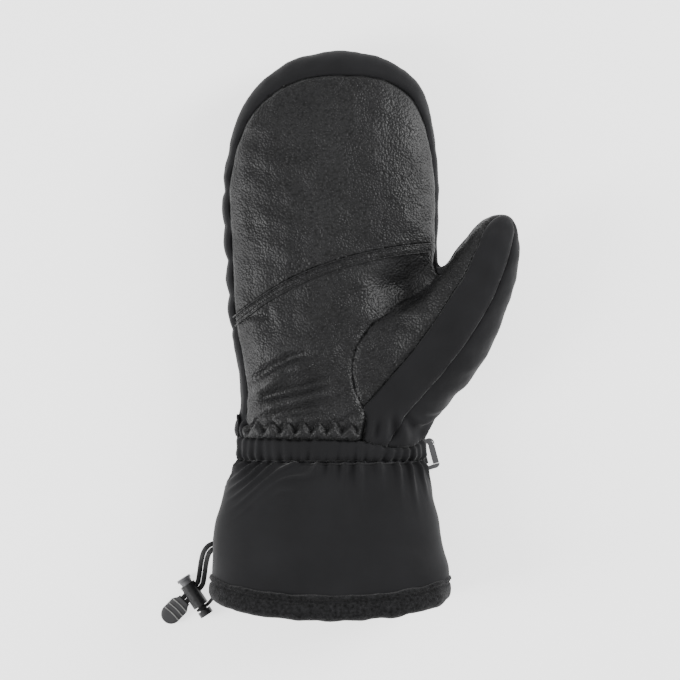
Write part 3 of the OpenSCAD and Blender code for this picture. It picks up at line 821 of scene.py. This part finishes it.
def make_hand():
    """The outer surface of hand and thumb, and its panels as thick pieces."""
    verts, faces = swollen_form()
    tree = BVHTree.FromPolygons(verts.tolist(), faces.tolist())
    outline = palm_outline()
    diagonal = route(DIAGONAL)
    teardrop = route(TEARDROP)
    border = laid_on(tree, route(outline))
    drop = laid_on(tree, teardrop)
    towards_crotch = smooth((drop[:, 1] + 2) / 26)
    # each seam with the depth and the width of its groove
    seams = [
        (border, 1.3, 1.5),
        (drop, 0.9 + 2.2 * towards_crotch, 1.5 + 2.2 * towards_crotch),
        (laid_on(tree, diagonal), 0.5, 0.7),
        (seam_round_thumb(tree, leather_low, -23, 112), 1.0, 1.4),
        (seam_round_thumb(tree, side_low, -23, 113), 0.9, 1.3),
        (seam_round_thumb(tree, inner_low, 70, 113), 1.0, 1.4),
        (seam_round_thumb(tree, back_low, -23, 69), 1.2, 1.5),
    ]
    middle = verts[faces].mean(1)
    kept = middle[:, 1] > wrist_line(middle[:, 0], middle[:, 2])
    faces = faces[kept]
    middle = middle[kept]
    of_face = panel_of(middle, outline, diagonal, teardrop)
    # one panel for each vertex, and seams where panels meet
    lowest = np.full(len(verts), 99)
    highest = np.full(len(verts), -1)
    for k in range(4):
        np.minimum.at(lowest, faces[:, k], of_face)
        np.maximum.at(highest, faces[:, k], of_face)
    used = np.unique(faces)
    renumber = np.zeros(len(verts), int)
    renumber[used] = np.arange(len(used))
    verts, lowest, highest, faces = verts[used], lowest[used], highest[used], renumber[faces]
    samples = np.vstack([s[0] for s in seams])
    index, distance = nearest(samples, verts)
    snapped = (lowest != highest) & (distance < 1.9)
    verts[snapped] = samples[index[snapped]]
    out = shaped(verts, faces, seams, diagonal, highest)
    # the edge at the wrist turns in and follows the seam's line
    seam_y = wrist_line(verts[:, 0], verts[:, 2])
    above = verts[:, 1] - seam_y
    out -= normals_of(verts, faces) * (1.2 * bump(above, 1.6))[:, None]
    out[:, 1] = np.where(np.abs(above) < 1.2, seam_y, out[:, 1])
    out[:, 2] = np.maximum(out[:, 2], REST_GAP)
    pieces = {}
    for code, name in enumerate(PANELS):
        part = faces[of_face == code]
        used, part = np.unique(part, return_inverse=True)
        pieces[name] = thicken(out[used], part.reshape(-1, 4), SHEET)
    return out, faces, pieces


body_verts, body_faces, panels = make_hand()
body_tree = BVHTree.FromPolygons(body_verts.tolist(), body_faces.tolist())
REPLACED = {
    "back_shell": ("back_shell", "insulation_back", "wrist_elastic_upper"),
    "upper_palm": ("upper_palm", "insulation_palm", "membrane_insert"),
    "lower_palm": ("lower_palm", "thumb_base_insulation"),
    "thumb_palm": ("thumb_palm", "thumb_insulation"),
    "thumb_side": ("thumb_side", "thumb_membrane"),
    "thumb_back": ("thumb_back", "thumb_lining"),
}
# a slanting direction across the thumb, from along it and outwards
bend_way = THUMB_T + 0.85 * THUMB_N
bend_way = bend_way / (bend_way @ bend_way)
for piece_name, (piece_verts, piece_faces) in panels.items():
    finish = (SHELL, "shell_fabric")
    if piece_name in ("upper_palm", "lower_palm", "thumb_palm"):
        finish = (LEATHER, "palm_leather")
    piece = build(piece_name + "_cloth", piece_verts, piece_faces, *finish)
    if piece_name.startswith("thumb"):
        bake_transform(piece)
    else:
        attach(piece, "hand")
    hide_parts(*REPLACED[piece_name])


# ---- the cuff ----
HEM_DEPTH = hem_top / 2 - 0.5
HEM_Z = hem_top / 2 - 1
FLARE_START = wrist_y - 8
# how far the hem bends towards the fingers at its sides
BOW = 8.0
PUCKER_PITCH = 5.0
PLEAT_PITCH = 8.6
PLEAT_HEIGHT = 3.4
LINING_SHEET = 1.6
CUFF_LINING_INSET = 3.9
HAND_LINING_INSET = 6.4
cuff_left = track(
    (-150, -62.6), (-137, -62.6), (-117.5, -62.2), (-105, -61.6), (-98, -60.4), (-92, -58.6),
    (-85.5, -57), (-79, -55), (-73, -51.4), (-66, -50), (-54, -49.6),
)
cuff_right = track(
    (-150, 61.6), (-137, 61.9), (-130, 61.7), (-117.5, 59.5), (-105, 57.6), (-98, 56.5), (-92, 55),
    (-85.5, 53.2), (-79, 52), (-73, 50.6), (-66, 49.8), (-54, 49.6),
)
AROUND = np.linspace(0, 2 * np.pi, 300, endpoint=False)


def cuff_ring(y, inset=0.0, u=AROUND, floor=1.0):
    """A ring of the cuff at a distance along it, inset from its outer surface."""
    left, right = cuff_left(y), cuff_right(y)
    share = 1 - np.clip(1 - (FLARE_START - y) / (FLARE_START - hem_y), 0, 1) ** 1.6
    x = (left + right) / 2 + ((right - left) / 2 - inset) * spow(np.cos(u), RING_POWER)
    depth = mix(wrist_depth, HEM_DEPTH, share) - inset
    z = mix(wrist_z, HEM_Z, share) + depth * spow(np.sin(u), RING_POWER)
    bow = BOW * np.abs(x / hem_half) ** 2.6 * smooth((wrist_y - 46 - y) / 36)
    return np.stack([x, y + bow, np.maximum(z, floor + inset)], axis=-1)


def ring_arc():
    """Distance round the cuff from its top middle, in millimetres."""
    ring = cuff_ring(wrist_y - 16.0)
    steps = np.linalg.norm(np.roll(ring, -1, axis=0) - ring, axis=1)
    along = np.concatenate([[0], np.cumsum(steps)[:-1]])
    quarter = np.argmin(np.abs(AROUND - np.pi / 2))
    return along[quarter] - along


def moved(grid, out):
    """A closed grid of rings moved along its normals, with the faces of its surface."""
    rows, cols = grid.shape[:2]
    faces = grid_faces(rows, cols, True)[:, ::-1]
    verts = grid.reshape(-1, 3)
    return verts + normals_of(verts, faces) * out.reshape(-1, 1), faces


def make_yoke():
    """The band under the wrist seam, puckered by the elastics along both its edges."""
    rows = 16
    top = cuff_ring(wrist_y)
    line = wrist_line(top[:, 0], top[:, 2])
    bottom = wrist_y - YOKE_HEIGHT
    grid = np.array([top] * (rows + 1))
    y = np.array([mix(bottom, line, k / rows) for k in range(rows + 1)])
    grid[..., 1] = y
    arc = ring_arc() + 1.4 * waves(grid.reshape(-1, 3), 21, 28).reshape(y.shape)
    pucker = np.sin(2 * np.pi * arc / PUCKER_PITCH) + 0.6 * np.sin(2 * np.pi * arc / 7.9 + 1)
    out = 0.6 * pucker * (0.35 + bump(y - bottom, 5) + 0.4 * bump(y - line, 3))
    out += 0.5 * waves(grid.reshape(-1, 3), 22, 22).reshape(y.shape)
    out += 0.7 - 1.7 * bump(y - line, 1.1) - 1.9 * bump(y - bottom, 1.4)
    verts, faces = moved(grid, out)
    return thicken(verts, faces, SHEET)


def make_gauntlet():
    """The gauntlet, with pleats that hang from the yoke and lean to the left."""
    top = wrist_y - YOKE_HEIGHT - 0.3
    rows = np.linspace(hem_y + 11, top, 82)
    grid = np.array([cuff_ring(y) for y in rows])
    down = (top - rows)[:, None]
    arc = ring_arc()[None, :]
    points = grid.reshape(-1, 3)
    lean = 1.25 * smooth((-grid[..., 0] - 2) / 26) * smooth((grid[..., 2] - 20) / 10)
    phase = arc + lean * down + 2.2 * waves(points * [1, 0.25, 1], 31, 34).reshape(lean.shape)
    pleat = (0.5 + 0.5 * np.cos(2 * np.pi * phase / PLEAT_PITCH)) ** 2.6
    reach = 8 + 6 * np.sin(arc / 9.0) ** 2
    out = PLEAT_HEIGHT * (pleat - 0.3) * np.exp(-((down / reach) ** 1.6)) - 2.0 * bump(down, 2.0)
    out += 0.7 * smooth(down / 14) * waves(points * [1, 0.6, 1], 32, 66).reshape(lean.shape)
    out += 0.25 * waves(points, 33, 24).reshape(lean.shape)
    out += 0.8 * smooth(down / 6) * (1 - smooth(down / 60))
    verts, faces = moved(grid, out)
    verts[:, 2] = np.maximum(verts[:, 2], 0.8)
    return thicken(verts, faces, SHEET)


# the binding's profile, from its outer seam to its inner one: distance above the edge, and inset
HEM_PROFILE = [
    (15.4, 0.4), (15.0, -0.9), (12.5, -1.5), (9.4, -1.8), (6.2, -1.8), (4, -1.1), (2.8, 0.7), (2.6, 2.6),
    (3.4, 4.4), (5, 5.5), (8, 5.7), (13, 5.4), (13.2, 4.6),
]


def make_hem():
    """The knitted binding, rolled round the cuff's edge."""
    profile = route(HEM_PROFILE, 0.8)
    grid = np.array([cuff_ring(hem_y + p, inset, floor=2.0) for p, inset in profile])
    points = grid.reshape(-1, 3)
    up = profile[:, 0][:, None]
    outer = (np.arange(len(profile)) < len(profile) * 0.55)[:, None]
    out = (0.35 * waves(points, 41, 18) + 0.08 * waves(points, 42, 5)).reshape(grid.shape[:2])
    out += (1.0 * bump(up - 14.6, 1.2) - 1.2 * bump(up - 12.6, 0.8)) * outer
    verts, faces = moved(grid[::-1], out[::-1])
    verts[:, 2] = np.maximum(verts[:, 2], 0.05)
    return verts, faces


def tube_wall(rings, depth):
    verts, faces = moved(rings, np.zeros(rings.shape[:2]))
    return thicken(verts, faces, depth)


def make_cuff_lining():
    u = np.linspace(0, 2 * np.pi, 120, endpoint=False)
    rows = np.linspace(hem_y + 8, wrist_y + 1, 44)
    return tube_wall(np.array([cuff_ring(y, CUFF_LINING_INSET, u) for y in rows]), LINING_SHEET)


def make_hand_lining():
    rings = hand_rings(HAND_LINING_INSET, wrist_y + 1, 96)
    x, y, z = np.moveaxis(rings, -1, 0)
    sunk = LINING_SINKS * crotch_hollow(x, y, z + 6)
    return tube_wall(rings - sunk[..., None] * UP, LINING_SHEET)


def make_label():
    """A blank strip on the lining, at the back of the cuff."""
    u = np.radians(np.linspace(250, 290, 17))
    grid = np.array([cuff_ring(y, 6.4, u) for y in np.linspace(hem_y + 34, hem_y + 56, 9)])
    return thicken(grid.reshape(-1, 3), grid_faces(9, 17, False)[:, ::-1], 0.4)


STRAP_WIDTH = 24.0


def make_strap():
    """Webbing sewn round the back of the wrist, with a raised rib along each edge."""
    cols = np.radians(np.linspace(171, 316, 130))
    rows = np.linspace(0, 1, 25)
    top = wrist_y + STRAP_WIDTH / 2
    grid = []
    for q in rows:
        rib = 0.35 * (bump(q - 0.06, 0.03) + bump(q - 0.94, 0.03))
        x = (wrist_half - 0.7 + rib) * spow(np.cos(cols), RING_POWER)
        y = top - STRAP_WIDTH * (1 - q) + 0.4 * np.sin(cols * 5)
        z = wrist_z + (wrist_z - 0.5 + rib) * spow(np.sin(cols), RING_POWER)
        grid.append(np.stack([x, y, np.maximum(z, 0.05)], axis=-1))
    return thicken(np.array(grid).reshape(-1, 3), grid_faces(25, 130, False)[:, ::-1], 1.1)


# the cuff's pieces, each built and baked in place of the CAD parts that it hides
CUFF_PIECES = [
    ("yoke_cloth", make_yoke, SHELL, "shell_fabric", ("wrist_yoke", "wrist_elastic_lower"), 0.3),
    ("gauntlet_cloth", make_gauntlet, SHELL, "shell_fabric", ("gauntlet",), None),
    ("hem_roll", make_hem, KNIT, "hem_knit", ("hem_binding", "hem_drawcord"), None),
    ("cuff_fleece", make_cuff_lining, FLEECE, "fleece", ("cuff_lining",), None),
    ("label_patch", make_label, LABEL, "label", ("care_label",), None),
    ("strap_webbing", make_strap, WEBBING, "webbing", ("wrist_strap",), None),
]
for piece_name, maker, material, slot_name, nodes, fill in CUFF_PIECES:
    piece = build(piece_name, *maker(), material, slot_name)
    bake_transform(piece)
    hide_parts(*nodes)
hand_fleece = build("hand_fleece", *make_hand_lining(), FLEECE, "fleece")
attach(hand_fleece, "hand")
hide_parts("hand_lining")


# ---- the clip's webbing loop ----
clip_at = joint_mm("clip_swing")
clip_along = -joint_axis("clip_swing")
clip_out = np.cross(clip_along, UP)
CLIP_BAR = 1.3
WEBBING_HALF = 4.4


def make_clip_webbing():
    """A folded strip that goes round the clip's bar, with the weave's ribs along it."""
    turn = 1.35 * CLIP_BAR
    profile = [(-13.5, 3.9), (-9.5, 1.7), (-5, 1.0), (-1.5, 1.25)]
    profile += [(turn * math.sin(a), turn * math.cos(a)) for a in np.radians(np.arange(0, 181, 20))]
    profile += [(-1.5, -1.25), (-5, -1.0), (-9.5, -0.1), (-13.5, 2.1)]
    profile = route(profile, 0.4)
    across = np.linspace(-WEBBING_HALF, WEBBING_HALF, 45)
    weave = 0.10 * np.sin(across * 2 * np.pi / 1.1)
    normal = unit(np.stack([-np.gradient(profile[:, 1]), np.gradient(profile[:, 0])], axis=1))
    verts = []
    for (out, up), (nx, nz) in zip(profile, normal):
        for c, w in zip(across, weave):
            verts.append(clip_at + (out + nx * w) * clip_out + (up + nz * w) * UP + c * clip_along)
    verts = np.array(verts)
    verts[:, 2] = np.maximum(verts[:, 2], 0.1)
    return thicken(verts, grid_faces(len(profile), 45, False), 0.7)


webbing_loop = build("clip_webbing_loop", *make_clip_webbing(), WEBBING, "webbing")
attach(webbing_loop, "cuff")
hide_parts("clip_webbing")


# ---- the tether and the pull tab ----
lock_axis = joint_axis("lock_press")
lock_side = np.cross(lock_axis, UP)
tab_axis = joint_axis("cord_pull")
tab_across = np.cross(UP, tab_axis)
LOCK_AT = np.array([-75.3, -139.1, 4.5])
NECK = 10.1
TETHER_ROUTE = [
    (-67.4, -146, 4.6), (-65.9, -144.4, 5.9), (-63.6, -141.4, 8.6), (-60.9, -138.9, 11.6),
    (-59.6, -137.7, 13.4),
]
TAB_LENGTH = 16.0
TAB_PITCH = math.radians(6)
TAB_FROM_LOCK = 6.2
TAB_DROP = 0.35
TAB_HALF = 5.5
TAB_NECK_HALF = 3.7
TAB_THICK = 3.6
tab_start = LOCK_AT + TAB_FROM_LOCK * tab_axis - TAB_DROP * UP
tab_along = math.cos(TAB_PITCH) * tab_axis - math.sin(TAB_PITCH) * UP
tab_up = np.cross(tab_along, tab_across)


def round_lock(a, radius):
    """Points round the lock's axis at angles from its side."""
    return radius * (np.cos(a)[:, None] * lock_side + np.sin(a)[:, None] * UP)


def make_tether():
    """A thin cord from the hem, looped round the lock's neck."""
    ring = LOCK_AT + NECK * lock_axis + round_lock(np.linspace(0, 2 * np.pi, 33), 2.9)
    return joined([sweep(ring, 0.8, 8), sweep(route(TETHER_ROUTE, 0.8), 0.95, 10)])


def tab_half_width(x):
    """Half the tab's width along it: narrow at the cord, round at the end."""
    past = np.clip(x - (TAB_LENGTH - TAB_HALF), 0, None)
    end = np.sqrt(np.clip(TAB_HALF ** 2 - past ** 2, 0, None))
    return np.minimum(end, mix(TAB_NECK_HALF, TAB_HALF, smooth((x - 0.5) / 4)))


def make_tab():
    """A flat moulded tab with a rounded rim."""
    end = TAB_LENGTH - 1.5 * np.cos(np.linspace(0.1, 1.5, 10)) ** 2
    around = np.linspace(0, 2 * np.pi, 40, endpoint=False)
    rings = []
    for x in (*np.linspace(0, TAB_LENGTH - 1.5, 44), *end):
        half = max(float(tab_half_width(x)), 0.15)
        edge = min(1.0, half / 1.6)
        y = half * spow(np.cos(around), 0.62)
        z = (TAB_THICK / 2 - 0.3) * edge * spow(np.sin(around), 0.35)
        rings.append(tab_start + x * tab_along + y[:, None] * tab_across + z[:, None] * tab_up)
    return closed_rings(np.array(rings))


def make_tab_ribs():
    ribs = []
    for x in 3.0 + 3.2 * np.arange(3):
        half = float(tab_half_width(x + 0.3)) - 0.35
        y = np.linspace(-half, half, 21)
        up = (TAB_THICK / 2 - 0.22) * np.ones_like(y) - 0.5 * np.abs(y / half) ** 6
        line = tab_start + (x + 0.5 * (y / half) ** 2)[:, None] * tab_along + y[:, None] * tab_across
        ribs.append(sweep(line + up[:, None] * tab_up, 0.4, 8))
    return joined(ribs)


tether = build("lock_tether_cord", *make_tether(), CORD, "cord")
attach(tether, "cuff")
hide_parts("lock_tether")
tab = build("tab_body", *make_tab(), TAB_RUBBER, "soft_tab")
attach(tab, "tab")
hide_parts("pull_tab")
tab_ribs = build("tab_ribs", *make_tab_ribs(), TAB_RIB, "soft_tab")
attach(tab_ribs, "tab")


# ---- the lock's spring, from the button's stem to the end of the bore ----
SPRING_FROM = 4.85
SPRING_TO = 7.7
SPRING_TURNS = 3
SPRING_WIRE = 0.22


def make_spring():
    a = np.linspace(0, 2 * np.pi * SPRING_TURNS, 24 * SPRING_TURNS)
    along = np.linspace(SPRING_FROM + SPRING_WIRE, SPRING_TO - SPRING_WIRE, len(a))
    return sweep(LOCK_AT + along[:, None] * lock_axis + round_lock(a, 2.5), SPRING_WIRE, 8)


spring = build("spring_coil", *make_spring(), SPRING, "spring_wire")
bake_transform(spring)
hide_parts("lock_spring")


# ---- stitches ----
# a point inside the mitten, which tells its outer side from its inner one
CORE = Vector((0.0, 0.0, 24.0))
# a stitch's height along it: its ends go into the cloth
STITCH_ARCH = (-0.25, 0.75, 1.0, 0.75, -0.25)
STITCH_LIFT = 0.12
THREAD_RADIUS = 0.22


def stitches(tree, line, pitch, length):
    """A row of thread stitches laid along a line on a surface."""
    made = []
    along = distances(line)
    for start in np.arange(0.6, along[-1] - length, pitch):
        t = np.linspace(start, start + length, len(STITCH_ARCH))
        points = []
        for q, h in zip(np.stack([np.interp(t, along, c) for c in line.T], axis=1), STITCH_ARCH):
            spot, normal = tree.find_nearest(Vector(q))[:2]
            outward = normal if (Vector(q) - CORE).dot(normal) > 0 else -normal
            points.append(np.array(spot) + np.array(outward) * STITCH_LIFT * h)
        made.append(sweep(np.array(points), THREAD_RADIUS, 6))
    return made


def beside_diagonal(distance, left, right):
    """A line on the leather at a distance below the slanting seam, between two values of x."""
    plan = route(DIAGONAL)
    along = unit(np.gradient(plan, axis=0))
    plan = plan + distance * np.stack([along[:, 1], -along[:, 0]], axis=1)
    return laid_on(body_tree, plan[(plan[:, 0] > left) & (plan[:, 0] < right)])


def make_palm_stitches():
    rows = [stitches(body_tree, beside_diagonal(row, -51.5, 54.5), 3.0, 2.2) for row in STITCH_ROWS]
    return joined(sum(rows, []))


def make_welts():
    """The raised edges of the slanting seam's overlap."""
    lines = [route(beside_diagonal(welt, -52, 55)[::5], 0.8) for welt in WELTS]
    return joined([sweep(line + 0.05 * UP, 0.55, 10) for line in lines])


def make_hem_stitches():
    verts, faces = make_hem()
    tree = BVHTree.FromPolygons(verts.tolist(), faces.tolist())
    line = cuff_ring(hem_y + 13.0, -1.6, np.linspace(0, 2 * np.pi, 400), 2.0)
    return joined(stitches(tree, line, 3.4, 2.4))


palm_welts = build("palm_welts", *make_welts(), LEATHER, "palm_leather")
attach(palm_welts, "hand")
palm_stitches = build("palm_stitches", *make_palm_stitches(), THREAD, "cord")
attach(palm_stitches, "hand")
hem_stitches = build("hem_stitches", *make_hem_stitches(), THREAD, "hem_knit")
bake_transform(hem_stitches)


# ---- hard pieces keep their CAD shape and get a finish ----
HARD = {
    "clip_frame": GREY_PLASTIC,
    "clip_gate": GREY_PLASTIC,
    "cord_eyelet": BLACK_PLASTIC,
    "lock_barrel": BLACK_PLASTIC,
    "lock_button": GREY_PLASTIC,
    "tab_cord_stop": GREY_PLASTIC,
}
for node_name, material in HARD.items():
    node = frame["nodes"][node_name]
    node.data.materials.clear()
    node.data.materials.append(material)


# ---- stage and light ----
FLOOR_HALF = 4000
FLOOR_GLOW = 1.6
WORLD_LIGHT = 0.7
LIGHT_SIZE = (0.5, 0.9)


def make_floor():
    paper = Surface("floor", (0.9, 0.9, 0.9), 0.9, specular=0.1)
    paper.vary_color(paper.noise(400, 1.0), 0.99, 1.0)
    paper.shader.inputs["Emission Color"].default_value = (1, 1, 1, 1)
    paper.shader.inputs["Emission Strength"].default_value = FLOOR_GLOW
    corners = np.array([(-1, -1, 0), (1, -1, 0), (1, 1, 0), (-1, 1, 0)]) * FLOOR_HALF
    mesh_object("floor", corners, [(0, 1, 2, 3)], paper.material)


def area_light(name, place, power):
    """A soft light turned to the middle of the mitten."""
    light = bpy.data.lights.new(name, "AREA")
    light.shape = "RECTANGLE"
    light.size, light.size_y = LIGHT_SIZE
    light.energy = power
    obj = bpy.data.objects.new(name, light)
    obj.location = place
    obj.rotation_euler = (-Vector(place)).to_track_quat("-Z", "Y").to_euler()
    bpy.context.scene.collection.objects.link(obj)


make_floor()
area_light("key", (1.2, 0.5, 0.7), 24)
area_light("fill", (-1.2, -0.3, 0.7), 21)
world = bpy.data.worlds.new("world")
bpy.context.scene.world = world
world.use_nodes = True
world.node_tree.nodes["Background"].inputs["Color"].default_value = (1, 1, 1, 1)
world.node_tree.nodes["Background"].inputs["Strength"].default_value = WORLD_LIGHT

# the drawcord's strands get their places baked into their meshes
for strand, path in cord_strands:
    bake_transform(strand)
